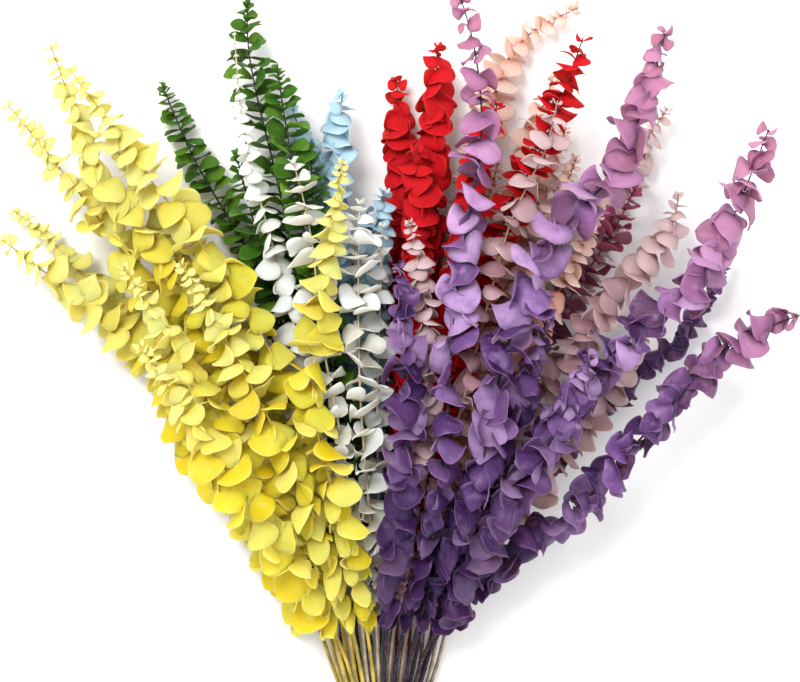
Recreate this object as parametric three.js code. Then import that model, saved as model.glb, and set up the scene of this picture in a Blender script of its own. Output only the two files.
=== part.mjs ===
import * as THREE from 'three';

// A bunch of dyed, dried eucalyptus lying on a table. Every stem with its leaves grew as
// one piece, so each is one closed solid. X runs across the fan, Y runs along the stems
// from the cut ends to the tips and Z runs up from the table. All lengths in millimetres.

// Overall sizes
const SPREAD = 1; // opens or closes the whole fan
const REACH = 1; // lengthens or shortens every stem above the neck
const BUTT_LENGTH = 70; // bare stem from the cut end to the neck
const LAYERS = [0, 1, 2, 3, 4, 5]; // from the table up
const LAYER_HEIGHT = 20; // one layer of leafy stems lying on the next
const BED_HEIGHT = 16; // axis of the lowest layer above the table, where it is leafy
const RISE_LENGTH = 170; // from the neck to where the layers have parted fully
const DROOP = 0.18; // how much of its height a stem has lost at the far end of the fan
const DROOP_LENGTH = 560; // distance from the neck at which it has lost that much

// Stems
const STEM_RADIUS = 2; // at the cut end
const TIP_RADIUS = 0.7;
const SPRIG_TAPER = 1.2; // above 1 the stem stays thick for longer
const STEM_GAP = 0.6; // air between two stems at the cut ends
const NECK_PITCH = 10; // from stem to stem across the neck
const NECK_ROW = 6.5; // from row to row at the neck
const POINT_LENGTH = 5; // growing point beyond the last pair of leaves

// Leaves
const LEAF_START = 46; // first pair above the neck
const PAIR_SPACING = 1.35; // from pair to pair, in leaf lengths
const PAIR_SPACING_MIN = 34; // the closest that two pairs come
const NODE_LENGTH = 2.6; // length of stem that a pair of leaves clasps
const LEAF_AIR = 0.35; // each leaf keeps this far from the middle between two stems
const LEAF_ROOM = 1.7; // shortest leaf kept, in stem radii
const TIP_LEAF = 0.42; // size of the last pair against the full size
const YOUNG_LENGTH = 90; // length of stem below the tip whose leaves are still growing
const AXIS_STEP = 5; // how finely the axes of the other stems are followed
const AXIS_POINTS = 28; // points that carry an axis up through its layer

// A leaf's outline, in leaf lengths along and across it, and its cupping
const LEAF_OUTLINE = [[0.22, -0.5], [0.68, -0.54], [1, 0], [0.68, 0.54], [0.22, 0.5]];
const LEAF_CUP = 0.35;

// Each dye: colour, and the angle in degrees at which its leaves rise from the stem
const DYES = {
  yellow: { colour: 0xdccb3c, rise: -38 },
  white: { colour: 0xe1d7c8, rise: -30 },
  green: { colour: 0x3f7a22, rise: 20 },
  light_blue: { colour: 0xa3c6d4, rise: -46 },
  red: { colour: 0xc40c1c, rise: -50 },
  peach: { colour: 0xe8c3b0, rise: -28 },
  mauve: { colour: 0xb08f98, rise: -32 },
  wine: { colour: 0x7d2c55, rise: 28 },
  purple: { colour: 0x7f5c9e, rise: -48 },
};

// Every stem: its name, dye, layer from the table up, full leaf length, and the points in
// plan that its axis passes from the neck to the tip, across the fan and along it
const STEMS = [
  // lowest layer
  ['yellow_stem_1', 'yellow', 0, 24, [[-74, 74], [-134, 172], [-214, 278], [-286, 356], [-308, 372]]],
  ['green_stem_1', 'green', 0, 15, [[-40, 158], [-78, 262], [-112, 336], [-156, 412], [-184, 476]]],
  ['light_blue_stem_1', 'light_blue', 0, 20, [[-22, 190], [-38, 310], [-60, 402], [-76, 456]]],
  ['red_stem_1', 'red', 0, 24, [[8, 174], [16, 278], [17, 370], [10, 480]]],
  ['peach_stem_1', 'peach', 0, 18, [[26, 166], [48, 270], [68, 376], [92, 468], [112, 510], [160, 538]]],
  ['peach_stem_5', 'peach', 0, 21, [[38, 150], [76, 238], [110, 320], [134, 388], [150, 440]]],
  ['mauve_stem_1', 'mauve', 0, 20, [[50, 126], [102, 214], [168, 324], [202, 402], [234, 456]]],
  ['purple_stem_1', 'purple', 0, 22, [[66, 78], [118, 142], [190, 216], [254, 278], [286, 334]]],
  // second layer
  ['yellow_stem_2', 'yellow', 1, 24,
    [[-68, 60], [-118, 132], [-158, 188], [-200, 262], [-246, 296], [-312, 346]]],
  ['green_stem_2', 'green', 1, 19, [[-32, 150], [-60, 262], [-84, 380], [-110, 496], [-112, 541]]],
  ['light_blue_stem_2', 'light_blue', 1, 22, [[-18, 174], [-32, 278], [-40, 400], [-34, 466]]],
  ['light_blue_stem_4', 'light_blue', 1, 20, [[-2, 174], [-6, 276], [-14, 372]]],
  ['red_stem_2', 'red', 1, 25, [[16, 166], [30, 262], [36, 360], [42, 460], [44, 504]]],
  ['peach_stem_6', 'peach', 1, 18, [[30, 158], [52, 262], [78, 352], [94, 412]]],
  ['peach_stem_2', 'peach', 1, 23, [[38, 150], [68, 246], [93, 340], [117, 420], [140, 482]]],
  ['mauve_stem_6', 'mauve', 1, 20, [[46, 144], [84, 234], [117, 314], [142, 372], [156, 414]]],
  ['wine_stem_1', 'wine', 1, 21, [[58, 132], [108, 226], [154, 302], [190, 358], [208, 396]]],
  ['mauve_stem_2', 'mauve', 1, 20, [[66, 80], [120, 140], [182, 220], [216, 272]]],
  // third layer
  ['yellow_stem_3', 'yellow', 2, 26, [[-66, 124], [-126, 214], [-188, 302], [-244, 380], [-304, 454]]],
  ['yellow_stem_9', 'yellow', 2, 26, [[-52, 128], [-94, 218], [-146, 314], [-190, 376], [-222, 432]]],
  ['green_stem_3', 'green', 2, 18, [[-38, 154], [-72, 258], [-98, 334], [-120, 416]]],
  ['green_stem_4', 'green', 2, 17, [[-24, 150], [-48, 262], [-56, 340], [-59, 421]]],
  ['light_blue_stem_3', 'light_blue', 2, 20, [[-8, 190], [-8, 290], [0, 386]]],
  ['red_stem_5', 'red', 2, 24, [[10, 160], [21, 258], [28, 350], [27, 420]]],
  ['red_stem_3', 'red', 2, 22, [[24, 156], [46, 252], [68, 366], [92, 456]]],
  ['peach_stem_3', 'peach', 2, 22, [[40, 132], [76, 222], [124, 330], [156, 412]]],
  ['mauve_stem_3', 'mauve', 2, 20, [[54, 110], [100, 182], [188, 300], [232, 352], [238, 382]]],
  // fourth layer
  ['yellow_stem_4', 'yellow', 3, 27,
    [[-60, 118], [-108, 206], [-174, 322], [-220, 386], [-246, 444], [-268, 502]]],
  ['white_stem_1', 'white', 3, 21, [[-30, 108], [-54, 210], [-88, 336], [-112, 430], [-120, 512]]],
  ['green_stem_5', 'green', 3, 19, [[-18, 136], [-36, 224], [-56, 312], [-72, 398], [-86, 484]]],
  ['white_stem_2', 'white', 3, 21, [[-4, 110], [-5, 210], [-1, 358]]],
  ['red_stem_4', 'red', 3, 19, [[26, 142], [54, 232], [96, 358], [132, 430], [160, 507]]],
  ['peach_stem_4', 'peach', 3, 20, [[46, 138], [92, 226], [144, 310], [174, 372]]],
  ['purple_stem_9', 'purple', 3, 25, [[58, 92], [106, 154], [160, 218], [208, 266]]],
  ['purple_stem_2', 'purple', 3, 27,
    [[66, 58], [110, 94], [158, 134], [224, 206], [278, 260], [338, 286]]],
  // fifth layer
  ['yellow_stem_10', 'yellow', 4, 26, [[-60, 82], [-96, 150], [-138, 214], [-176, 276], [-206, 322]]],
  ['yellow_stem_5', 'yellow', 4, 26, [[-44, 146], [-74, 226], [-140, 334], [-192, 400], [-250, 480]]],
  ['white_stem_3', 'white', 4, 20, [[-30, 164], [-48, 262], [-58, 350], [-72, 408]]],
  ['white_stem_4', 'white', 4, 22, [[-10, 110], [-18, 214], [-20, 300], [-19, 376]]],
  ['mauve_stem_4', 'mauve', 4, 16, [[22, 120], [36, 214], [32, 300], [20, 360]]],
  ['mauve_stem_5', 'mauve', 4, 21,
    [[34, 116], [62, 212], [86, 306], [104, 366], [128, 414], [138, 454]]],
  ['purple_stem_8', 'purple', 4, 28, [[46, 90], [80, 160], [112, 230], [130, 282]]],
  ['purple_stem_3', 'purple', 4, 26,
    [[66, 94], [114, 164], [176, 248], [256, 320], [284, 378], [306, 432]]],
  // top layer
  ['yellow_stem_6', 'yellow', 5, 26, [[-60, 66], [-104, 136], [-148, 198], [-192, 262]]],
  ['yellow_stem_7', 'yellow', 5, 26, [[-40, 84], [-68, 158], [-102, 226], [-130, 276], [-160, 326]]],
  ['yellow_stem_8', 'yellow', 5, 25,
    [[-20, 60], [-36, 132], [-55, 214], [-50, 280], [-42, 340], [-32, 404]]],
  ['purple_stem_4', 'purple', 5, 25, [[8, 80], [18, 150], [19, 240], [12, 326]]],
  ['purple_stem_5', 'purple', 5, 27,
    [[28, 70], [46, 144], [52, 240], [62, 338], [77, 430], [70, 500], [58, 541]]],
  ['purple_stem_6', 'purple', 5, 30,
    [[44, 84], [74, 158], [98, 262], [132, 340], [186, 404], [222, 506]]],
  ['purple_stem_7', 'purple', 5, 27, [[64, 70], [96, 128], [132, 190], [164, 252]]],
];

// The axis of a stem lies in its layer: packed rows at the cut ends, parted layers where
// it is leafy, and a little droop towards the far end of the fan.
function heightInLayer(layer, distance) {
  const packed = STEM_RADIUS + layer * (2 * STEM_RADIUS + STEM_GAP);
  const gathered = STEM_RADIUS + layer * NECK_ROW;
  const fromButt = THREE.MathUtils.smoothstep(distance, -BUTT_LENGTH, 0);
  const low = THREE.MathUtils.lerp(packed, gathered, fromButt);
  const sag = 1 - DROOP * Math.min(1, distance / DROOP_LENGTH) ** 2;
  const high = BED_HEIGHT + layer * LAYER_HEIGHT * sag;
  return THREE.MathUtils.lerp(low, high, THREE.MathUtils.smoothstep(distance, 0, RISE_LENGTH));
}

// Across the cut ends and the neck the stems of a layer lie side by side in the order in
// which they fan out, so no two of them cross.
function slotOf(stem, layer) {
  const order = [...layer].sort((a, b) => a.plan[0].x - b.plan[0].x);
  return order.indexOf(stem) - (order.length - 1) / 2;
}

// How far past the neck a place in plan is. The neck is a line as long as its widest row.
function distanceFromNeck(x, y, stems) {
  if (y < 0) return y;
  const widest = Math.max(...LAYERS.map((layer) => stems.filter((stem) => stem.layer === layer).length));
  const aside = Math.max(0, Math.abs(x) - ((widest - 1) / 2) * NECK_PITCH);
  return Math.hypot(aside, y);
}

function makeAxis(stem, stems) {
  const slot = slotOf(stem, stems.filter((other) => other.layer === stem.layer));
  const foot = new THREE.Vector2(slot * (2 * STEM_RADIUS + STEM_GAP), -BUTT_LENGTH);
  const neck = new THREE.Vector2(slot * NECK_PITCH, 0);
  const flat = [foot, neck, ...stem.plan].map(({ x, y }) => new THREE.Vector3(x, y, 0));
  const plan = new THREE.CatmullRomCurve3(flat, false, 'centripetal');
  const points = plan.getSpacedPoints(AXIS_POINTS);
  for (const point of points) {
    point.z = heightInLayer(stem.layer, distanceFromNeck(point.x, point.y, stems));
  }
  const axis = new THREE.CatmullRomCurve3(points, false, 'centripetal');
  axis.arcLengthDivisions = 400;
  return axis;
}

// Directions at a point of an axis: along the stem, sideways and up
function frameAt(axis, share) {
  const along = axis.getTangentAt(share);
  const side = new THREE.Vector3(0, 0, 1).cross(along).normalize().negate();
  const up = new THREE.Vector3().crossVectors(side, along);
  return { centre: axis.getPointAt(share), along, side, up };
}

// The four corners of the stem at a height along it, the first one on its right
function stemCorners(frame, radius, lift) {
  const { centre, along, side, up } = frame;
  const middle = centre.clone().addScaledVector(along, lift);
  return [side, up, side.clone().negate(), up.clone().negate()].map((direction) =>
    middle.clone().addScaledVector(direction, radius),
  );
}

// How far a point may stand from its node, as a share of its wish, so that it stays nearer
// to its own stem than to any other and above the table
function roomTowards(node, wish, others) {
  const reach = wish.clone().sub(node);
  let share = reach.z < 0 ? node.z / -reach.z : 1;
  for (const other of others) {
    const apart = other.clone().sub(node);
    const distance = apart.length();
    const towards = reach.dot(apart) / distance;
    if (towards > 0) share = Math.min(share, (distance / 2 - LEAF_AIR) / towards);
  }
  return Math.min(share, 1);
}

// The outline of one leaf that grows from a face of the stem, or nothing where the
// neighbouring stems leave it no room
function leafOutline(frame, outward, length, rise, others) {
  const { centre, along } = frame;
  const across = new THREE.Vector3().crossVectors(outward, along);
  const forward = outward.clone().multiplyScalar(Math.cos(rise)).addScaledVector(along, Math.sin(rise));
  const normal = new THREE.Vector3().crossVectors(forward, across);
  const fold = Math.sign(rise) * LEAF_CUP * length;
  const outline = LEAF_OUTLINE.map(([u, v]) => {
    const wish = centre.clone().addScaledVector(forward, u * length);
    wish.addScaledVector(across, v * length).addScaledVector(normal, -fold * v * v);
    return centre.clone().lerp(wish, roomTowards(centre, wish, others));
  });
  const shortest = Math.min(...outline.map((point) => point.distanceTo(centre)));
  return shortest > LEAF_ROOM * STEM_RADIUS ? outline : null;
}

// Collects triangles by corner points
class Shell {
  constructor() {
    this.positions = [];
  }

  triangle(a, b, c) {
    for (const point of [a, b, c]) this.positions.push(point.x, point.y, point.z);
  }

  quad(a, b, c, d) {
    this.triangle(a, b, c);
    this.triangle(a, c, d);
  }

  geometry() {
    const geometry = new THREE.BufferGeometry();
    geometry.setAttribute('position', new THREE.Float32BufferAttribute(this.positions, 3));
    geometry.computeVertexNormals();
    return geometry;
  }
}

// One face of the stem between two levels, from corner k to the next
function stemFace(shell, low, high, k) {
  const next = (k + 1) % low.length;
  shell.quad(low[k], high[k], high[next], low[next]);
}

// The same face with a leaf on it: two surfaces that meet in the leaf's edge
function leafFace(shell, low, high, k, outline) {
  const next = (k + 1) % low.length;
  const middle = (outline.length - 1) / 2;
  const last = outline.length - 1;
  for (let i = 0; i < last; i += 1) {
    const root = i < middle ? k : next;
    shell.triangle(high[root], outline[i + 1], outline[i]);
    shell.triangle(low[root], outline[i], outline[i + 1]);
  }
  shell.triangle(high[k], high[next], outline[middle]);
  shell.triangle(low[k], outline[middle], low[next]);
  shell.triangle(low[k], high[k], outline[0]);
  shell.triangle(low[next], outline[last], high[next]);
}

// The heights of the pairs of leaves along a stem, evenly spaced up to the growing point.
// A longer bunch has longer stretches between its pairs.
function pairPlaces(length, leaf) {
  const start = BUTT_LENGTH + LEAF_START;
  const leafy = length - POINT_LENGTH - start;
  const spacing = Math.max(PAIR_SPACING * leaf, PAIR_SPACING_MIN) * REACH;
  const count = Math.max(2, Math.round(leafy / spacing));
  return Array.from({ length: count + 1 }, (_, i) => start + (leafy * i) / count);
}

// Leaves reach their full size a little way below the tip
function leafSize(leaf, belowTip) {
  const grown = Math.sin((Math.min(1, belowTip / YOUNG_LENGTH) * Math.PI) / 2);
  return leaf * THREE.MathUtils.lerp(TIP_LEAF, 1, grown);
}

// A leafy stem as one closed shell: cut end, stem, pairs of leaves, each pair turned a
// quarter from the one below, and the growing point.
function leafyStem(stem, others) {
  const { axis, leaf, dye } = stem;
  const length = axis.getLength();
  const rise = THREE.MathUtils.degToRad(DYES[dye].rise);
  const radiusAt = (share) => THREE.MathUtils.lerp(STEM_RADIUS, TIP_RADIUS, share ** SPRIG_TAPER);
  const places = pairPlaces(length, leaf);
  const shell = new Shell();

  const foot = frameAt(axis, 0);
  let below = stemCorners(foot, radiusAt(0), 0);
  shell.quad(...below);
  const neck = BUTT_LENGTH / length;
  const bare = [neck / 2, neck, (BUTT_LENGTH + LEAF_START / 2) / length];
  for (const share of bare) {
    const above = stemCorners(frameAt(axis, share), radiusAt(share), 0);
    below.forEach((_, k) => stemFace(shell, below, above, k));
    below = above;
  }

  places.forEach((place, i) => {
    const share = place / length;
    const frame = frameAt(axis, share);
    const size = leafSize(leaf, length - place);
    const low = stemCorners(frame, radiusAt(share), -NODE_LENGTH / 2);
    const high = stemCorners(frame, radiusAt(share), NODE_LENGTH / 2);
    below.forEach((_, k) => stemFace(shell, below, low, k));
    low.forEach((_, k) => {
      const outward = low[k].clone().add(low[(k + 1) % low.length]).multiplyScalar(0.5);
      outward.addScaledVector(frame.along, NODE_LENGTH / 2).sub(frame.centre).normalize();
      const leafy = k % 2 === i % 2;
      const outline = leafy ? leafOutline(frame, outward, size, rise, others) : null;
      if (outline) leafFace(shell, low, high, k, outline);
      else stemFace(shell, low, high, k);
    });
    below = high;
  });

  const tip = axis.getPointAt(1);
  below.forEach((corner, k) => shell.triangle(corner, tip, below[(k + 1) % below.length]));
  return shell.geometry();
}

const stems = STEMS.map(([name, dye, layer, leaf, plan]) => ({
  name,
  dye,
  layer,
  leaf,
  plan: plan.map(([x, y]) => new THREE.Vector2(x * SPREAD, y * REACH)),
}));
for (const stem of stems) stem.axis = makeAxis(stem, stems);
for (const stem of stems) {
  stem.trace = stem.axis.getSpacedPoints(Math.ceil(stem.axis.getLength() / AXIS_STEP));
}

const bunch = new THREE.Group();
for (const stem of stems) {
  const others = stems.filter((other) => other !== stem).flatMap((other) => other.trace);
  const material = new THREE.MeshStandardMaterial({
    color: DYES[stem.dye].colour,
    roughness: 0.75,
    metalness: 0,
  });
  const mesh = new THREE.Mesh(leafyStem(stem, others), material);
  mesh.name = stem.name;
  bunch.add(mesh);
}

// The origin is under the middle of the bunch, on the table.
const box = new THREE.Box3().setFromObject(bunch);
const middle = box.getCenter(new THREE.Vector3());
bunch.position.set(-middle.x, -middle.y, -box.min.z);

export default bunch;
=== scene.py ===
import math

import bpy
import numpy as np
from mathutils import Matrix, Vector


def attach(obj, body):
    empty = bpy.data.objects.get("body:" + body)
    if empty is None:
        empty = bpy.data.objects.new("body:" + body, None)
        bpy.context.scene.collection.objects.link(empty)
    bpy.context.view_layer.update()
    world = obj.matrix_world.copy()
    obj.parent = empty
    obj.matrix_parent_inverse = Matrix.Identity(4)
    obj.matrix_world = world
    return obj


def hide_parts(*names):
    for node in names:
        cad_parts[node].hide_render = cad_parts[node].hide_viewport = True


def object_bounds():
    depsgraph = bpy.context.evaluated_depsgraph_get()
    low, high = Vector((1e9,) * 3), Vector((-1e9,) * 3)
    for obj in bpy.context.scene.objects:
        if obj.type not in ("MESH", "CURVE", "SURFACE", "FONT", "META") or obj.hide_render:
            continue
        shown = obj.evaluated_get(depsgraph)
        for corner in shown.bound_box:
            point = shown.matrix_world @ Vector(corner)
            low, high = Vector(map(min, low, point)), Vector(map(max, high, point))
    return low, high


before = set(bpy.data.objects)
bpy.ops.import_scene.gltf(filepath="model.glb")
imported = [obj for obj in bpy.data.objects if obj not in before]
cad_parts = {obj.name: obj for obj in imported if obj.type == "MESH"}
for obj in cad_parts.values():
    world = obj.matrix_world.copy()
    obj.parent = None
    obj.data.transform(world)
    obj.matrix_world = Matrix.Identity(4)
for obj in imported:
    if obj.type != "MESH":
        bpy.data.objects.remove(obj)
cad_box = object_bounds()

# A bunch of dyed, dried eucalyptus lying on a table. Every CAD solid is one leafy stem.
# Its axis is read back from the solid, and a detailed stalk and its leaves grow along it.

MM = 0.001
SEED = 20

# ---------------------------------------------------------------- sizes

# The stalks
BUTT = 118 * MM  # bare stalk from the cut end to the first pair of leaves
STALK_RADII = (1.65 * MM, 0.5 * MM)  # at the cut end and at the growing point
STALK_TAPER = 1.1  # above 1 the stalk stays thick for longer
STALK_SIDES = 8
STALK_STEP = 2.5 * MM  # from ring to ring of a stalk
STALK_STEP_LEAST = 0.3 * MM  # rings that come closer are left out
SCAR_SPACING = 17 * MM  # from scar to scar on the bare stalk
SCAR_LOWEST = 8 * MM  # above the cut end
SCAR_SWELL = 0.2  # how much thicker the stalk is where leaves sit or sat
SCAR_REACH = 1.3 * MM
CUT_SLOPE = (0.3, 0.8)  # least and greatest slope of a cut end
CUT_HEART = 0.04  # radius at which the cut face closes, against the stalk's
TIP_RADIUS = 0.1 * MM

# The leaves
LEAF_THICKNESS = 0.32 * MM
BLADE_CELLS = 8  # faces along and across each leaf
SPIKE, SPIKE_WIDTH = 0.03, 0.25  # the small point at the tip, in leaf lengths and half widths
GROOVE, GROOVE_WIDTH = 0.03, 0.16  # the fold along the midrib
EGG = 0.1  # how much wider a leaf is near its foot
UNEVEN = 0.04  # how uneven its outline is
QUARTER = math.pi / 2  # each pair stands across the pair below
PAIR_TURN = 10  # spread in degrees of a leaf's place round the stalk
ROLL_VARIES = 0.45  # how far the first pair may have turned, in radians
CLOSED = 62  # degrees at which the last leaves close round the bud

# Each leaf takes its own share of what is said below, between a least and a greatest
LENGTH_VARIES = (0.86, 1.1)
WIDTH_VARIES = (0.9, 1.1)
CUP_VARIES = (0.2, 1.7)
BEND_VARIES = (-0.6, 1.8)
WAVE_VARIES = (0.3, 1.4)
FACE_VARIES = (0.1, 1.9)

# The room between them
TRACE_STEP = 6 * MM  # how finely a leaf sees the neighbouring stalks
SIGHT = 2.4  # how far it sees them, in leaf lengths
ELBOW_ROOM = 0.66  # how far it may reach towards one, 1 is all the way
LEAF_AIR = (0.3, 0.9)  # least and greatest air left beside it, in millimetres
LEAST_ROOM = 0.5 * MM
EASE_FROM = 0.6  # share of the room at which a leaf starts to bend away
PRESSES = 3  # a point that has moved away from one neighbour may have come near another
TABLE_AIR = 0.3 * MM

# The sheet that each mesh is unwrapped to
SQUARE_FILL = 0.45  # a leaf's radius in its square
EDGE_FILL = 1.07  # the leaf's edge is a narrow band outside the leaf
STALK_SHEET = ((0.05, 0.9), (0.02, 0.96))  # start and width, start and height

# ---------------------------------------------------------------- dyes

# How the leaves of each dye grow:
#   width    against the leaf's length
#   spacing  from pair to pair, in leaf lengths
#   rise     degrees at which a leaf rises from the stalk, below 0 it hangs back
#   face     how strongly the leaves have turned to face up
#   flat     how far the pairs spread up and down, against how far they spread sideways
#   cup      how far the margins fold back or up, in leaf lengths
#   bend     how far the tip bends down, in leaf lengths
#   wave     how wavy the margin is, in leaf lengths
#   lobe     how far the lobes at the foot clasp the stalk
#   young    length of stalk below the tip whose leaves are still growing, in millimetres
#   foot     size of the lowest leaves against the full size
# Then the colours: light, middle and deep, the pale margin with its painted highlight, the tone
# towards the tip, and the stalk. Last, how far light soaks into a leaf, its shine and roughness,
# and how much of the deep colour is painted on the lowest leaves as shade.
DYES = {
    "yellow": dict(
        width=1.12, spacing=0.56, rise=-26, face=0.75, flat=0.38, cup=0.26, bend=0.2, wave=0.11,
        lobe=0.12, young=150, foot=1.25, sway=17,
        light=(0.66, 0.572, 0.12), mid=(0.64, 0.52, 0.033), deep=(0.62, 0.43, 0.005),
        rim=(0.69, 0.64, 0.24), tip=(0.67, 0.63, 0.25), stalk=(0.58, 0.42, 0.06),
        glow=0.8, shine=0.15, rough=0.6, painted_shade=0.0,
    ),
    "white": dict(
        width=1.1, spacing=0.62, rise=-28, face=0.7, flat=0.7, cup=0.24, bend=0.20, wave=0.06,
        lobe=0.1, young=70, foot=1.1,
        light=(0.87, 0.86, 0.79), mid=(0.82, 0.80, 0.71), deep=(0.66, 0.63, 0.51),
        rim=(0.84, 0.83, 0.77), tip=(0.82, 0.81, 0.75), stalk=(0.60, 0.49, 0.33),
        glow=0.6, shine=0.2, rough=0.6, painted_shade=0.0,
    ),
    "green": dict(
        width=0.84, spacing=0.34, rise=8, face=0.9, flat=0.8, cup=0.14, bend=0.12, wave=0.04,
        lobe=-0.1, young=60, foot=1.1,
        light=(0.16, 0.33, 0.025), mid=(0.022, 0.088, 0.005), deep=(0.003, 0.02, 0.0015),
        rim=(0.09, 0.21, 0.03), tip=(0.045, 0.15, 0.012), stalk=(0.02, 0.02, 0.008),
        glow=0.1, shine=0.15, rough=0.45, painted_shade=0.3,
    ),
    "light_blue": dict(
        width=1.2, spacing=0.36, rise=-42, face=0.8, flat=0.9, cup=0.22, bend=0.14, wave=0.07,
        lobe=0.12, young=30, foot=1.0,
        light=(0.42, 0.62, 0.73), mid=(0.31, 0.50, 0.61), deep=(0.09, 0.19, 0.26),
        rim=(0.52, 0.68, 0.76), tip=(0.42, 0.62, 0.73), stalk=(0.16, 0.23, 0.27),
        glow=0.3, shine=0.2, rough=0.6, painted_shade=0.6,
    ),
    "red": dict(
        width=1.3, spacing=0.42, rise=-46, face=0.9, flat=0.9, cup=0.22, bend=0.15, wave=0.10,
        lobe=0.15, young=35, foot=1.0,
        light=(0.52, 0.003, 0.006), mid=(0.40, 0.0, 0.001), deep=(0.27, 0.0, 0.0),
        rim=(0.60, 0.05, 0.055), tip=(0.55, 0.012, 0.018), stalk=(0.12, 0.015, 0.015),
        glow=0.3, shine=0.03, rough=0.6, painted_shade=0.3,
    ),
    "peach": dict(
        width=1.05, spacing=0.5, rise=-24, face=0.7, flat=0.7, cup=0.18, bend=0.18, wave=0.06,
        lobe=0.1, young=100, foot=1.1,
        light=(0.83, 0.56, 0.46), mid=(0.79, 0.37, 0.27), deep=(0.68, 0.16, 0.09),
        rim=(0.84, 0.66, 0.60), tip=(0.82, 0.58, 0.50), stalk=(0.33, 0.10, 0.07),
        glow=0.4, shine=0.15, rough=0.6, painted_shade=0.0,
    ),
    "mauve": dict(
        width=1.1, spacing=0.5, rise=-28, face=0.7, flat=0.8, cup=0.2, bend=0.16, wave=0.07,
        lobe=0.1, young=50, foot=1.1,
        light=(0.62, 0.43, 0.45), mid=(0.46, 0.26, 0.29), deep=(0.22, 0.075, 0.11),
        rim=(0.66, 0.50, 0.52), tip=(0.64, 0.46, 0.46), stalk=(0.40, 0.29, 0.21),
        glow=0.3, shine=0.2, rough=0.55, painted_shade=0.2,
    ),
    "wine": dict(
        width=1.0, spacing=0.5, rise=20, face=0.7, flat=0.8, cup=0.2, bend=0.12, wave=0.08,
        lobe=0.05, young=70, foot=1.1,
        light=(0.27, 0.075, 0.15), mid=(0.15, 0.03, 0.08), deep=(0.045, 0.008, 0.022),
        rim=(0.33, 0.12, 0.20), tip=(0.30, 0.03, 0.09), stalk=(0.09, 0.02, 0.035),
        glow=0.15, shine=0.25, rough=0.5, painted_shade=0.3,
    ),
    "purple": dict(
        width=1.25, spacing=0.54, rise=-40, face=0.6, flat=0.85, cup=0.3, bend=0.18, wave=0.22,
        lobe=0.22, young=90, foot=0.85, sway=24,
        light=(0.48, 0.30, 0.55), mid=(0.145, 0.057, 0.22), deep=(0.021, 0.006, 0.05),
        rim=(0.32, 0.17, 0.39), tip=(0.51, 0.19, 0.30), stalk=(0.02, 0.008, 0.025),
        glow=0.2, shine=0.2, rough=0.45, painted_shade=0.9,
    ),
}

# What holds where neither the dye nor the stem says otherwise:
#   least    size of the last pair against the full size
#   closest  from pair to pair at least, in millimetres
#   bud      length below the tip over which the leaves close round the bud, in millimetres
#   sway     spread in degrees of a leaf's rise and of its twist
#   blush    how far the stem takes on the tip's tone; below 1 the painted shade reaches higher
#   pale     how far its leaves vary towards the light colour
USUAL = dict(least=0.2, closest=2.6, bud=16, sway=13, blush=1.0, pale=1.0)

# Stems whose leaves differ from the rest of their dye
OWN_WAYS = {
    "yellow_stem_2": dict(young=75, least=0.3),
    "yellow_stem_3": dict(young=190, least=0.25, closest=7),
    "yellow_stem_4": dict(young=170, least=0.25, closest=8),
    "yellow_stem_5": dict(young=170, least=0.25, closest=7),
    "white_stem_1": dict(young=300, least=0.08, closest=8),
    "white_stem_2": dict(spacing=1.1, foot=0.9),
    "white_stem_3": dict(rise=4, face=0.4),
    "white_stem_4": dict(rise=2, face=0.5, spacing=0.54),
    "red_stem_4": dict(rise=-6, face=0.2, flat=0.4, young=50, least=0.45, closest=7, foot=1.6),
    "peach_stem_1": dict(rise=-10, face=0.9, young=120, least=0.35),
    "mauve_stem_5": dict(spacing=0.85, face=0.9, foot=0.9, pale=0.75),
    "purple_stem_1": dict(blush=0.5, pale=0.3, spacing=0.75),
    "purple_stem_2": dict(blush=0.9, young=55, least=0.5, closest=6, pale=0.6, spacing=0.55),
    "purple_stem_3": dict(young=60, least=0.3),
    "purple_stem_4": dict(blush=0.4, foot=1.0),
    "purple_stem_5": dict(spacing=0.8, flat=0.7, young=170, least=0.35, bud=70, foot=1.1),
    "purple_stem_6": dict(young=100, least=0.35, foot=1.4, spacing=0.58),
    "purple_stem_7": dict(blush=0.4),
    "purple_stem_8": dict(blush=0.4),
    "purple_stem_9": dict(blush=0.4),
}

# Full leaf length of each stem in millimetres
LEAF_LENGTHS = {
    "yellow": [24, 24, 26, 27, 26, 26, 26, 25, 26, 26],
    "white": [22, 18, 24, 25],
    "green": [17, 22, 21, 19, 21],
    "light_blue": [20, 21, 19, 20],
    "red": [22, 24, 21, 17, 23],
    "peach": [20, 24, 22, 20, 21, 18],
    "mauve": [20, 20, 21, 16, 22, 20],
    "wine": [21],
    "purple": [16, 24, 26, 24, 24, 26, 26, 28, 27],
}

# ---------------------------------------------------------------- surfaces and light

# Noise scales, in blobs to the metre
BLOTCH, CRINKLE, GRAIN = 95.0, 260.0, 900.0  # on a leaf: of the dye, and of its surface
PATCH, FIBRE = 70.0, 700.0  # on the bark

# Below CHANGE_OVER the leaves are darkened with painted shade.
CHANGE_OVER = 0.55  # place on the leafy part below which leaves darken, above which they blush
VEIN_SLANT = 1.35
VEIN_RATE = 19.0  # side veins along a leaf, in radians
# Veins show less on leaves darkened with painted shade.
VEIN_CLEAR, VEIN_LOST = 0.18, 0.13  # how clear the veins are, and how much less on dark leaves
LEAF_RELIEF = 0.35 * MM
BARK_RELIEF = 0.2 * MM
SOAK_DEPTH = 3 * MM  # how deep light goes into a leaf, and how far for each colour
SOAK_COLOURS = (1.0, 0.7, 0.45)
WOOD = ((0.45, 0.33, 0.19), (0.72, 0.60, 0.40))  # dark and pale wood of a cut end
BARK_SHINE = 0.3

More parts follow.
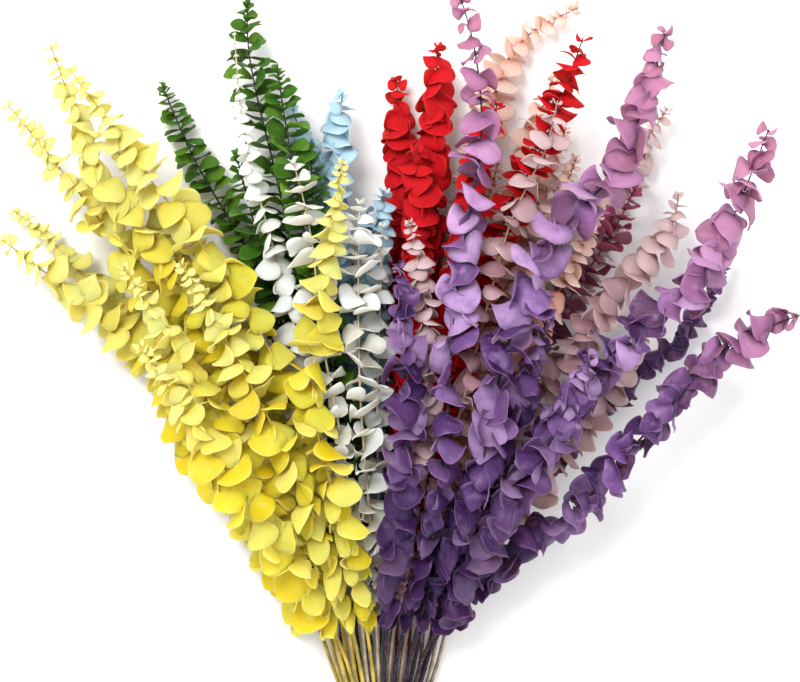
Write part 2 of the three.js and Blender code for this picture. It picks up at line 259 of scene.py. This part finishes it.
FLOOR_REACH = 3.2
FLOOR_COLOUR = (0.96, 0.96, 0.96, 1)
FLOOR_ROUGH = 0.8
SKY = 1.0  # strength of the even white light from all round
KEY = dict(place=(-0.7, 1.0, 2.0), size=1.2, power=46, colour=(1.0, 0.99, 0.97))
FILL = dict(place=(1.5, -0.6, 1.6), size=1.8, power=11, colour=(1.0, 1.0, 1.0))
AIM_HEIGHT = 0.05  # of the point that the lights are turned to

VIEW_WIDTH = 0.64  # how much of the table the picture shows, at the height VIEW_HEIGHT
VIEW_HEIGHT = 0.07
VIEW_UP = 0.028  # the picture's middle lies this far from the bunch's towards the tips
LENS = 100
SENSOR = 36


# ---------------------------------------------------------------- materials

def node(tree, kind, **values):
    made = tree.nodes.new(kind)
    for name, value in values.items():
        setattr(made, name, value)
    return made


def link(tree, source, target):
    tree.links.new(source, target)


def fill(tree, socket, value):
    """Links a socket, or sets it to a number or a colour."""
    if isinstance(value, bpy.types.NodeSocket):
        link(tree, value, socket)
    elif isinstance(value, tuple):
        socket.default_value = (*value, 1)
    else:
        socket.default_value = value


def mix(tree, share, a, b):
    """Two colours, with a share of the second. Sockets 6 and 7 are a Mix node's colours."""
    made = node(tree, "ShaderNodeMix", data_type="RGBA")
    fill(tree, made.inputs[0], share)
    fill(tree, made.inputs[6], a)
    fill(tree, made.inputs[7], b)
    return made.outputs[2]


def maths(tree, operation, *values):
    made = node(tree, "ShaderNodeMath", operation=operation)
    for socket, value in zip(made.inputs, values):
        fill(tree, socket, value)
    return made.outputs[0]


def ramp(tree, value, low, high, start=0.0, end=1.0):
    """A value between low and high carried over softly to start and end."""
    made = node(tree, "ShaderNodeMapRange", interpolation_type="SMOOTHSTEP")
    for socket, number in zip(made.inputs, (value, low, high, start, end)):
        fill(tree, socket, number)
    return made.outputs[0]


def noise(tree, scale, detail=2.0, roughness=0.5):
    place = node(tree, "ShaderNodeTexCoord").outputs["Object"]
    made = node(tree, "ShaderNodeTexNoise")
    link(tree, place, made.inputs["Vector"])
    made.inputs["Scale"].default_value = scale
    made.inputs["Detail"].default_value = detail
    made.inputs["Roughness"].default_value = roughness
    return made.outputs["Fac"]


def attribute(tree, name):
    return node(tree, "ShaderNodeAttribute", attribute_name=name).outputs["Fac"]


def relief(tree, height, depth):
    """A surface that is rough to a depth."""
    bump = node(tree, "ShaderNodeBump")
    bump.inputs["Strength"].default_value = 0.5
    bump.inputs["Distance"].default_value = depth
    link(tree, height, bump.inputs["Height"])
    return bump.outputs[0]


def new_material(name):
    material = bpy.data.materials.new(name)
    material.use_nodes = True
    return material, material.node_tree, material.node_tree.nodes["Principled BSDF"]


def leaf_dye_and_painted_shade(tree, look, blotch, climb, painted_shade):
    """Each leaf took the dye a little differently and the young ones are paler or pinker. The
    lowest ones are darkened towards the deep colour as painted shade."""
    tone = attribute(tree, "tone")
    colour = mix(tree, ramp(tree, tone, 0.0, 0.5), look["deep"], look["mid"])
    colour = mix(tree, ramp(tree, tone, 0.35, 1.0), colour, look["light"])
    colour = mix(tree, ramp(tree, blotch, 0.42, 0.72, 0.0, 0.35), colour, look["deep"])
    colour = mix(tree, ramp(tree, blotch, 0.28, 0.5, 0.3, 0.0), colour, look["light"])
    colour = mix(tree, ramp(tree, climb, CHANGE_OVER, 1.0, 0.0, 0.8), colour, look["tip"])
    # painted shade: the lowest leaves are mixed towards the deep colour
    return mix(tree, painted_shade, colour, look["deep"])


def leaf_margin_shade_and_highlight(tree, look, colour, along, across, painted_shade):
    """The foot of a leaf, where it meets the stalk, is darkened with painted shade. The margin is
    pale, partly from drying and partly as a painted highlight, and the underside is a little pale
    too."""
    # painted shade at the foot of the leaf, by the stalk
    colour = mix(tree, ramp(tree, along, -1.0, -0.1, 0.6, 0.0), colour, look["deep"])
    squares = (maths(tree, "POWER", part, 2.0) for part in (along, across))
    from_middle = maths(tree, "SQRT", maths(tree, "ADD", *squares))
    # the pale margin: partly the dried edge, partly a painted highlight; fainter on leaves in
    # painted shade
    rim = ramp(tree, from_middle, 0.88, 1.0, 0.0, 0.35)
    rim = maths(tree, "MULTIPLY", rim, ramp(tree, painted_shade, 0.0, 1.0, 1.0, 0.35))
    colour = mix(tree, rim, colour, look["rim"])
    under = maths(tree, "MULTIPLY", attribute(tree, "under"), 0.15)
    return mix(tree, under, colour, look["rim"])


def leaf_veins(tree, blotch, along, across):
    """A midrib, and side veins that leave it at a slant."""
    aside = maths(tree, "ABSOLUTE", across)
    midrib = ramp(tree, aside, 0.0, 0.055, 1.0, 0.0)
    midrib = maths(tree, "MULTIPLY", midrib, ramp(tree, along, 0.2, 0.85, 1.0, 0.0))
    slant = maths(tree, "MULTIPLY_ADD", aside, -VEIN_SLANT, along)
    slant = maths(tree, "ADD", slant, maths(tree, "MULTIPLY", blotch, 0.3))
    start = attribute(tree, "phase")
    wave = maths(tree, "SINE", maths(tree, "MULTIPLY_ADD", slant, VEIN_RATE, start))
    side_veins = maths(tree, "MULTIPLY", ramp(tree, wave, 0.82, 1.0), 0.45)
    return maths(tree, "MAXIMUM", midrib, side_veins)


def leaf_material(dye, look):
    material, tree, shader = new_material(f"{dye}_leaf")
    along, across, climb = (attribute(tree, name) for name in ("along", "across", "climb"))
    blotch = noise(tree, BLOTCH, 3.0)
    # painted shade, strongest on the lowest leaves and gone by CHANGE_OVER
    painted_shade = ramp(tree, climb, 0.0, CHANGE_OVER, look["painted_shade"], 0.0)
    veins = leaf_veins(tree, blotch, along, across)
    colour = leaf_dye_and_painted_shade(tree, look, blotch, climb, painted_shade)
    colour = leaf_margin_shade_and_highlight(tree, look, colour, along, across, painted_shade)
    clear = maths(tree, "MULTIPLY_ADD", painted_shade, -VEIN_LOST, VEIN_CLEAR)
    colour = mix(tree, maths(tree, "MULTIPLY", veins, clear), colour, look["rim"])
    link(tree, colour, shader.inputs["Base Color"])

    crinkle = noise(tree, CRINKLE)
    height = maths(tree, "MULTIPLY", crinkle, 0.8)
    height = maths(tree, "MULTIPLY_ADD", noise(tree, GRAIN, 3.0, 0.6), 0.25, height)
    height = maths(tree, "MULTIPLY_ADD", veins, 0.45, height)
    link(tree, relief(tree, height, LEAF_RELIEF), shader.inputs["Normal"])
    rough = ramp(tree, crinkle, 0.3, 0.7, look["rough"] - 0.08, look["rough"] + 0.08)
    link(tree, rough, shader.inputs["Roughness"])

    shader.inputs["Subsurface Weight"].default_value = look["glow"]
    shader.inputs["Subsurface Radius"].default_value = SOAK_COLOURS
    shader.inputs["Subsurface Scale"].default_value = SOAK_DEPTH
    shader.inputs["Specular IOR Level"].default_value = look["shine"]
    return material


def stalk_material(dye, look):
    """Patchy bark with pale fibres, and bare wood where the stalk was cut."""
    material, tree, shader = new_material(f"{dye}_stalk")
    bark = look["stalk"]
    dark = tuple(part * 0.5 for part in bark)
    pale = tuple(part + (1 - part) * 0.25 for part in bark)
    patches = noise(tree, PATCH, 3.0)
    fibres = noise(tree, FIBRE)
    colour = mix(tree, ramp(tree, patches, 0.35, 0.65), dark, bark)
    colour = mix(tree, ramp(tree, fibres, 0.5, 0.8, 0.0, 0.5), colour, pale)
    wood = mix(tree, ramp(tree, fibres, 0.3, 0.7), *WOOD)
    colour = mix(tree, ramp(tree, attribute(tree, "cut"), 0.4, 0.6), colour, wood)
    link(tree, colour, shader.inputs["Base Color"])
    link(tree, relief(tree, fibres, BARK_RELIEF), shader.inputs["Normal"])
    link(tree, ramp(tree, patches, 0.3, 0.7, 0.55, 0.75), shader.inputs["Roughness"])
    shader.inputs["Specular IOR Level"].default_value = BARK_SHINE
    return material


# ---------------------------------------------------------------- axes of the stems

# The square rings of a solid's stem
RING_DIAGONALS = (1.2 * MM, 4.6 * MM)  # shortest and longest
SAME_MIDDLE = 0.04 * MM  # how far apart the middles of a ring's two diagonals may be
SAME_LENGTH = 0.08 * MM  # how much the diagonals' lengths may differ
RIGHT_ANGLE = 0.06  # greatest cosine between them
NODE_REACH = 4 * MM  # rings within it belong to one pair of leaves

# The growing point: how far beyond the last ring it is looked for, and how far beside it
APEX_BEYOND = (2 * MM, 8 * MM)
APEX_ASIDE = 1.2 * MM
APEX_USUAL = 5 * MM  # how far on it is where none is found

CURVE_STEP = 1 * MM
FRAME_REACH = 3 * MM  # how far to each side of a place its direction is taken


def corners_of(solid):
    flat = np.zeros(len(solid.data.vertices) * 3, np.float32)
    solid.data.vertices.foreach_get("co", flat)
    return np.unique(flat.reshape(-1, 3).round(5), axis=0).astype(float)


def ring_centres(corners):
    """The middles of the square rings that a solid's stem is made of. Such a ring has two
    diagonals of one length that cross at right angles in their middles."""
    a, b = np.triu_indices(len(corners), 1)
    span = corners[b] - corners[a]
    length = np.linalg.norm(span, axis=1)
    fits = (length > RING_DIAGONALS[0]) & (length < RING_DIAGONALS[1])
    a, b, span, length = a[fits], b[fits], span[fits], length[fits]
    middle = (corners[a] + corners[b]) / 2
    i, j = np.triu_indices(len(middle), 1)
    same = np.abs(middle[i] - middle[j]).max(axis=1) < SAME_MIDDLE
    i, j = i[same], j[same]
    square = np.abs((span[i] * span[j]).sum(axis=1)) < RIGHT_ANGLE * length[i] * length[j]
    level = np.abs(length[i] - length[j]) < SAME_LENGTH
    return middle[i[square & level]]


def in_order(centres):
    """The centres from the cut end on, each followed by the nearest one left."""
    left = list(centres)
    path = [left.pop(int(np.argmin([point[1] for point in left])))]
    while left:
        away = [np.linalg.norm(point - path[-1]) for point in left]
        path.append(left.pop(int(np.argmin(away))))
    return path


def axis_points(solid):
    """The axis of a leafy stem: its cut end, the middle of each pair of leaves, and its
    growing point."""
    corners = corners_of(solid)
    path = in_order(ring_centres(corners))
    points = [path[0]]
    group = []
    for centre in path[1:]:
        if group and np.linalg.norm(centre - group[0]) > NODE_REACH:
            points.append(np.mean(group, axis=0))
            group = []
        group.append(centre)
    points.append(np.mean(group, axis=0))

    ahead = points[-1] - points[-2]
    ahead /= np.linalg.norm(ahead)
    beyond = (corners - points[-1]) @ ahead
    aside = np.linalg.norm(corners - points[-1] - np.outer(beyond, ahead), axis=1)
    near = (beyond > APEX_BEYOND[0]) & (beyond < APEX_BEYOND[1]) & (aside < APEX_ASIDE)
    tips = corners[near]
    points.append(tips[0] if len(tips) else points[-1] + ahead * APEX_USUAL)
    return np.array(points)


class Axis:
    """A smooth curve through the points of an axis, measured along its length."""

    def __init__(self, points):
        chords = np.linalg.norm(np.diff(points, axis=0), axis=1)
        places = np.concatenate([[0], np.cumsum(chords)])
        slopes = np.gradient(points, places, axis=0)
        fine = np.arange(0, places[-1], CURVE_STEP)
        k = np.clip(np.searchsorted(places, fine, side="right") - 1, 0, len(chords) - 1)
        h = chords[k][:, None]
        t = ((fine - places[k]) / chords[k])[:, None]
        curve = (
            points[k] * (2 * t**3 - 3 * t**2 + 1)
            + points[k + 1] * (3 * t**2 - 2 * t**3)
            + slopes[k] * h * (t**3 - 2 * t**2 + t)
            + slopes[k + 1] * h * (t**3 - t**2)
        )
        self.curve = np.vstack([curve, points[-1]])
        steps = np.linalg.norm(np.diff(self.curve, axis=0), axis=1)
        self.lengths = np.concatenate([[0], np.cumsum(steps)])
        self.length = self.lengths[-1]

    def at(self, place):
        place = np.clip(place, 0, self.length)
        return np.stack([np.interp(place, self.lengths, self.curve[:, i]) for i in range(3)], -1)

    def frame(self, place):
        """Along the stem, sideways and up, at one place or at many."""
        along = self.at(place + FRAME_REACH) - self.at(place - FRAME_REACH)
        along /= np.linalg.norm(along, axis=-1, keepdims=True)
        side = np.cross(along, [0.0, 0.0, 1.0])
        side /= np.linalg.norm(side, axis=-1, keepdims=True)
        return along, side, np.cross(side, along)


# ---------------------------------------------------------------- meshes

class Pieces:
    """Collects points, faces, UVs and values at the points for one mesh."""

    def __init__(self):
        self.points, self.faces, self.uvs, self.values = [], [], [], {}
        self.count = 0

    def add(self, points, faces, uvs, **values):
        self.points.append(points)
        self.faces.append(faces + self.count)
        self.uvs.append(uvs)
        self.count += len(points)
        for name, value in values.items():
            self.values.setdefault(name, []).append(np.broadcast_to(value, len(points)))

    def mesh(self, name):
        points = np.concatenate(self.points)
        faces = np.concatenate(self.faces)
        uvs = np.concatenate(self.uvs)
        mesh = bpy.data.meshes.new(name)
        mesh.vertices.add(len(points))
        mesh.vertices.foreach_set("co", points.astype(np.float32).ravel())
        mesh.loops.add(faces.size)
        mesh.loops.foreach_set("vertex_index", faces.astype(np.int32).ravel())
        mesh.polygons.add(len(faces))
        mesh.polygons.foreach_set("loop_start", np.arange(0, faces.size, 4, dtype=np.int32))
        mesh.polygons.foreach_set("loop_total", np.full(len(faces), 4, np.int32))
        layer = mesh.uv_layers.new(name="OFBake")
        layer.uv.foreach_set("vector", uvs.astype(np.float32).ravel())
        for key, values in self.values.items():
            layer = mesh.attributes.new(key, "FLOAT", "POINT")
            layer.data.foreach_set("value", np.concatenate(values).astype(np.float32))
        mesh.update(calc_edges=True)
        mesh.validate()
        mesh.shade_smooth()
        return mesh


def blade_grid():
    """A round grid without a pole: places along and across a leaf from -1 to 1, its faces,
    and the indices round its margin."""
    n = BLADE_CELLS + 1
    a, b = np.meshgrid(np.linspace(-1, 1, n), np.linspace(-1, 1, n), indexing="ij")
    u = a * np.sqrt(1 - b * b / 2)
    v = b * np.sqrt(1 - a * a / 2)
    index = np.arange(n * n).reshape(n, n)
    quads = np.stack(
        [index[:-1, :-1], index[1:, :-1], index[1:, 1:], index[:-1, 1:]], -1
    ).reshape(-1, 4)
    ring = np.concatenate([index[:-1, 0], index[-1, :-1], index[:0:-1, -1], index[0, :0:-1]])
    return np.stack([u.ravel(), v.ravel()], -1), quads, ring


GRID, GRID_FACES, GRID_RING = blade_grid()


def leaf_faces():
    """Upper side, underside and the edge between them."""
    n = len(GRID)
    after = np.roll(GRID_RING, -1)
    edge = np.stack([GRID_RING, GRID_RING + n, after + n, after], -1)
    return np.concatenate([GRID_FACES, GRID_FACES[:, ::-1] + n, edge])


LEAF_FACES = leaf_faces()


def leaf_uvs(number, cells):
    """Each side of each leaf has its own square of the sheet."""
    def square(which, grid):
        row, column = divmod(which, cells)
        return (np.array([column, row]) + 0.5 + grid * SQUARE_FILL) / cells

    n = len(GRID)
    upper = square(2 * number, GRID)
    under = square(2 * number + 1, GRID)
    uvs = np.concatenate([upper, under])[LEAF_FACES]
    edge = slice(2 * len(GRID_FACES), None)
    outer = square(2 * number, GRID * EDGE_FILL)
    corners = LEAF_FACES[edge]
    uvs[edge] = np.where((corners < n)[..., None], upper[corners % n], outer[corners % n])
    return uvs.reshape(-1, 2)


# ---------------------------------------------------------------- leaves

def phase(rng):
    """Where a ripple starts, in radians."""
    return rng.uniform(0, 6)


def blade_shape(length, look, rng):
    """A soft round leaf in its own axes: along it, across it and off its upper side."""
    u, v = GRID[:, 0], GRID[:, 1]
    turn = np.arctan2(v, u)
    from_middle = np.hypot(u, v)
    outer = np.clip(u, 0, 1)  # 0 in the half near the stalk
    reach = (u + 1) / 2
    width = length * look["width"] * rng.uniform(*WIDTH_VARIES)
    x = length * (reach - look["lobe"] * v * v * (1 - reach) * 2)
    x += length * SPIKE * outer**4 * np.exp(-((v / SPIKE_WIDTH) ** 2))
    y = width / 2 * v * (1 - EGG * u) * (1 + UNEVEN * np.sin(2 * turn + phase(rng)))

    # the margins fold back or up, and the blade bends along its length
    back = math.copysign(1, look["rise"])
    cup = back * look["cup"] * rng.uniform(*CUP_VARIES)
    bend = look["bend"] * rng.uniform(*BEND_VARIES)
    z = cup * v * v - bend * reach**2

    # ripples: how many go round, how high they are, and how soon they die away inwards
    for count, height, power in ((2, rng.uniform(*WAVE_VARIES), 2), (3, 0.3, 3), (6, 0.15, 5)):
        z += height * look["wave"] * np.sin(count * turn + phase(rng)) * from_middle**power
    z -= GROOVE * np.exp(-((v / GROOVE_WIDTH) ** 2)) * (1 - outer)
    z *= length

    twist = math.radians(rng.normal(0, look["sway"]))
    c, s = math.cos(twist), math.sin(twist)
    return np.stack([x, c * y - s * z, s * y + c * z], -1)


def leaf_axes(stem, angle, rise, facing, flat):
    """A leaf's own axes as rows: along it, across it and off its upper side. Facing turns it
    up, unless it hangs below its stalk."""
    along, side, up = stem
    outward = math.cos(angle) * side + flat * math.sin(angle) * up
    outward /= np.linalg.norm(outward)
    forward = outward * math.cos(rise) + along * math.sin(rise)
    normal = along * math.cos(rise) - outward * math.sin(rise)
    if outward[2] > -0.5:
        normal = normal + facing * (np.array([0.0, 0.0, 1.0]) - forward * forward[2])
        normal /= np.linalg.norm(normal)
    return np.stack([forward, np.cross(normal, forward), normal])


def press(points, root, others, air):
    """Bends a leaf away from its neighbours: it stays on its own stem's side of the middle
    between the two, and above the table."""
    apart = others - root
    distance = np.linalg.norm(apart, axis=1)
    normals = np.vstack([apart / distance[:, None], [0.0, 0.0, -1.0]])
    limits = np.append(distance * ELBOW_ROOM - air, root[2] - LEAF_THICKNESS - TABLE_AIR)
    limits = np.maximum(limits, LEAST_ROOM)
    start = EASE_FROM * limits
    for _ in range(PRESSES):
        reach = (points - root) @ normals.T
        worst = np.argmax(reach / limits, axis=1)
        far = reach[np.arange(len(points)), worst]
        low, room = start[worst], (limits - start)[worst]
        eased = low + room * (1 - np.exp(-np.maximum(far - low, 0) / room))
        move = np.where(far > low, far - eased, 0.0)
        points = points - normals[worst] * move[:, None]
    points[:, 2] = np.maximum(points[:, 2], TABLE_AIR + LEAF_THICKNESS)
    return points


def surface_normals(points):
    """Normals of the open blade, one for each of its points."""
    a, b, c, d = (points[GRID_FACES[:, i]] for i in range(4))
    flat = np.cross(c - a, d - b)
    total = np.zeros_like(points)
    for i in range(4):
        np.add.at(total, GRID_FACES[:, i], flat)
    return total / np.maximum(np.linalg.norm(total, axis=1, keepdims=True), 1e-12)


def pair_places(axis, length, look):
    """Where the pairs of leaves stand along the stem, and how big each is."""
    places, sizes = [], []
    place = BUTT
    while place < axis.length - 1 * MM:
        grown = min(1, (axis.length - place) / (look["young"] * MM))
        least = look["least"]
        size = length * (least + (1 - least) * math.sin(grown * math.pi / 2))
        size *= 1 + (look["foot"] - 1) * (1 - place / axis.length)
        places.append(place)
        sizes.append(size)
        place += max(look["spacing"] * size, look["closest"] * MM)
    return np.array(places), np.array(sizes)


def grow_leaves(name, axis, places, sizes, look, others, rng):
    cells = math.ceil(math.sqrt(4 * len(places)))  # two leaves in a pair, two sides to a leaf
    pieces = Pieces()
    roll = QUARTER / 2 + rng.uniform(-ROLL_VARIES, ROLL_VARIES)
    roots = axis.at(places)
    frames = np.stack(axis.frame(places), 1)
    upper_and_under = np.tile(GRID, (2, 1))
    for i, (place, size, root) in enumerate(zip(places, sizes, roots)):
        climb = (place - places[0]) / (places[-1] - places[0])
        young = max(0, 1 - (axis.length - place) / (look["bud"] * MM))
        near = others[np.linalg.norm(others - root, axis=1) < SIGHT * size]
        for half in (0, 1):
            angle = roll + i * QUARTER + half * math.pi + math.radians(rng.normal(0, PAIR_TURN))
            rise = math.radians(look["rise"] + rng.normal(0, look["sway"]))
            rise += (math.radians(CLOSED) - rise) * young
            facing = look["face"] * rng.uniform(*FACE_VARIES)
            axes = leaf_axes(frames[i], angle, rise, facing, look["flat"])
            shape = blade_shape(size * rng.uniform(*LENGTH_VARIES), look, rng)
            points = press(root + shape @ axes, root, near, rng.uniform(*LEAF_AIR) * MM)
            lift = surface_normals(points) * LEAF_THICKNESS / 2
            tone = rng.uniform(0, look["pale"])
            pieces.add(
                np.concatenate([points + lift, points - lift]),
                LEAF_FACES,
                leaf_uvs(2 * i + half, cells),
                along=upper_and_under[:, 0],
                across=upper_and_under[:, 1],
                under=np.repeat([0.0, 1.0], len(GRID)),
                climb=climb * look["blush"],
                tone=tone,
                phase=phase(rng),
            )
    return pieces.mesh(name)


# ---------------------------------------------------------------- stalks

def stalk_rings(axis, places):
    """Where the stalk's rings stand and how thick it is there: a taper, and a swelling where a
    pair of leaves sits or sat."""
    scars = np.arange(places[0] - SCAR_SPACING, SCAR_LOWEST, -SCAR_SPACING)
    joints = np.concatenate([scars, places])
    rings = np.arange(0, axis.length, STALK_STEP)
    rings = np.unique(np.concatenate([rings, joints]))
    rings = rings[np.concatenate([[True], np.diff(rings) > STALK_STEP_LEAST])]
    thick, thin = STALK_RADII
    radius = thick + (thin - thick) * (rings / axis.length) ** STALK_TAPER
    gap = np.abs(rings[:, None] - joints[None, :]).min(axis=1)
    return rings, radius * (1 + SCAR_SWELL * np.exp(-((gap / SCAR_REACH) ** 2)))


def stalk_faces(count):
    """The sides of a tube of so many rings and then its two ends, with their UVs. The last
    side ends at the right edge of the sheet and doesn't run back over the others."""
    row, column = np.divmod(np.arange((count - 1) * STALK_SIDES), STALK_SIDES)
    rows = np.stack([row, row, row + 1, row + 1], -1)
    columns = np.stack([column, column + 1, column + 1, column], -1)
    end = np.array([(0, i, i + 1, i + 2) for i in range(1, STALK_SIDES - 2, 2)])
    rows = np.concatenate([rows, np.full(end.shape, 0), np.full(end.shape, count - 1)])
    columns = np.concatenate([columns, end[:, ::-1], end])
    (left, width), (bottom, height) = STALK_SHEET
    uvs = np.stack([columns / STALK_SIDES * width + left, rows / count * height + bottom], -1)
    return rows * STALK_SIDES + columns % STALK_SIDES, uvs.reshape(-1, 2)


def grow_stalk(name, axis, places, rng):
    """A tapering tube with a slanting cut at its foot."""
    rings, radius = stalk_rings(axis, places)
    centres = axis.at(rings)
    _, sides, ups = axis.frame(rings)
    turn = np.arange(STALK_SIDES) * 2 * math.pi / STALK_SIDES
    spokes = (
        np.cos(turn)[None, :, None] * sides[:, None, :]
        + np.sin(turn)[None, :, None] * ups[:, None, :]
    )
    tube = centres[:, None, :] + spokes * radius[:, None, None]
    slope = rng.uniform(*CUT_SLOPE) * math.copysign(1, rng.uniform(-1, 1))
    tube[0, :, 1] += radius[0] * (abs(slope) + slope * np.cos(turn))
    middle = tube[0].mean(axis=0)
    heart = middle + (tube[0] - middle) * CUT_HEART
    tip = axis.at(axis.length)[None, :] + spokes[-1] * TIP_RADIUS

    # the first ring is there twice, once for the cut wood and once for the bark
    tube = np.concatenate([heart[None], tube[:1], tube, tip[None]])
    cut = np.zeros((len(tube), STALK_SIDES))
    cut[:2] = 1
    faces, uvs = stalk_faces(len(tube))
    pieces = Pieces()
    pieces.add(tube.reshape(-1, 3), faces, uvs, cut=cut.ravel())
    return pieces.mesh(name)


# ---------------------------------------------------------------- the bunch

def add_piece(name, mesh, material, solid_name):
    piece = bpy.data.objects.new(name, mesh)
    bpy.context.scene.collection.objects.link(piece)
    piece.data.materials.append(material)
    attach(piece, "root")
    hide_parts(solid_name)
    return piece


def grow_bunch():
    materials = {
        dye: (leaf_material(dye, look), stalk_material(dye, look)) for dye, look in DYES.items()
    }
    axes = {name: Axis(axis_points(solid)) for name, solid in sorted(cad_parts.items())}
    traces = {name: axis.at(np.arange(0, axis.length, TRACE_STEP)) for name, axis in axes.items()}
    for order, (name, axis) in enumerate(axes.items()):
        dye, number = name.rsplit("_stem_", 1)
        look = {**USUAL, **DYES[dye], **OWN_WAYS.get(name, {})}
        length = LEAF_LENGTHS[dye][int(number) - 1] * MM
        others = np.concatenate([trace for key, trace in traces.items() if key != name])
        rng = np.random.default_rng(SEED + order)
        leaf, stalk = materials[dye]
        places, sizes = pair_places(axis, length, look)
        mesh = grow_leaves(f"{name}_leaves", axis, places, sizes, look, others, rng)
        add_piece(f"{name}_leaves", mesh, leaf, name)
        mesh = grow_stalk(f"{name}_stalk", axis, places, rng)
        add_piece(f"{name}_stalk", mesh, stalk, name)


# ---------------------------------------------------------------- stage, light and camera

def make_floor(middle, height):
    corners = [
        (middle[0] + a * FLOOR_REACH, middle[1] + b * FLOOR_REACH, height)
        for a, b in ((-1, -1), (1, -1), (1, 1), (-1, 1))
    ]
    mesh = bpy.data.meshes.new("floor")
    mesh.from_pydata(corners, [], [(0, 1, 2, 3)])
    floor = bpy.data.objects.new("floor", mesh)
    bpy.context.scene.collection.objects.link(floor)
    material, _, shader = new_material("floor")
    shader.inputs["Base Color"].default_value = FLOOR_COLOUR
    shader.inputs["Roughness"].default_value = FLOOR_ROUGH
    floor.data.materials.append(material)


def area_light(name, target, place, size, power, colour):
    data = bpy.data.lights.new(name, "AREA")
    data.shape = "DISK"
    data.size = size
    data.energy = power
    data.color = colour
    light = bpy.data.objects.new(name, data)
    light.location = place
    light.rotation_euler = (Vector(target) - Vector(place)).to_track_quat("-Z", "Y").to_euler()
    bpy.context.scene.collection.objects.link(light)


def light_scene(view):
    target = (*view, AIM_HEIGHT)
    area_light("key", target, **KEY)
    area_light("fill", target, **FILL)
    world = bpy.data.worlds.new("studio")
    world.use_nodes = True
    background = world.node_tree.nodes["Background"]
    background.inputs["Color"].default_value = (1, 1, 1, 1)
    background.inputs["Strength"].default_value = SKY
    bpy.context.scene.world = world
    bpy.context.scene.view_settings.view_transform = "Standard"


def place_camera(view):
    """Straight above the bunch, with a long lens, looking down on it as it lies."""
    data = bpy.data.cameras.new("camera")
    data.lens = LENS
    data.sensor_width = SENSOR
    data.clip_end = 20
    camera = bpy.data.objects.new("camera", data)
    camera.location = (*view, VIEW_WIDTH * LENS / SENSOR + VIEW_HEIGHT)
    bpy.context.scene.collection.objects.link(camera)
    bpy.context.scene.camera = camera


low, high = cad_box
middle = ((low.x + high.x) / 2, (low.y + high.y) / 2)
view = (middle[0], middle[1] + VIEW_UP)
place_camera(view)
light_scene(view)
make_floor(middle, low.z)
grow_bunch()
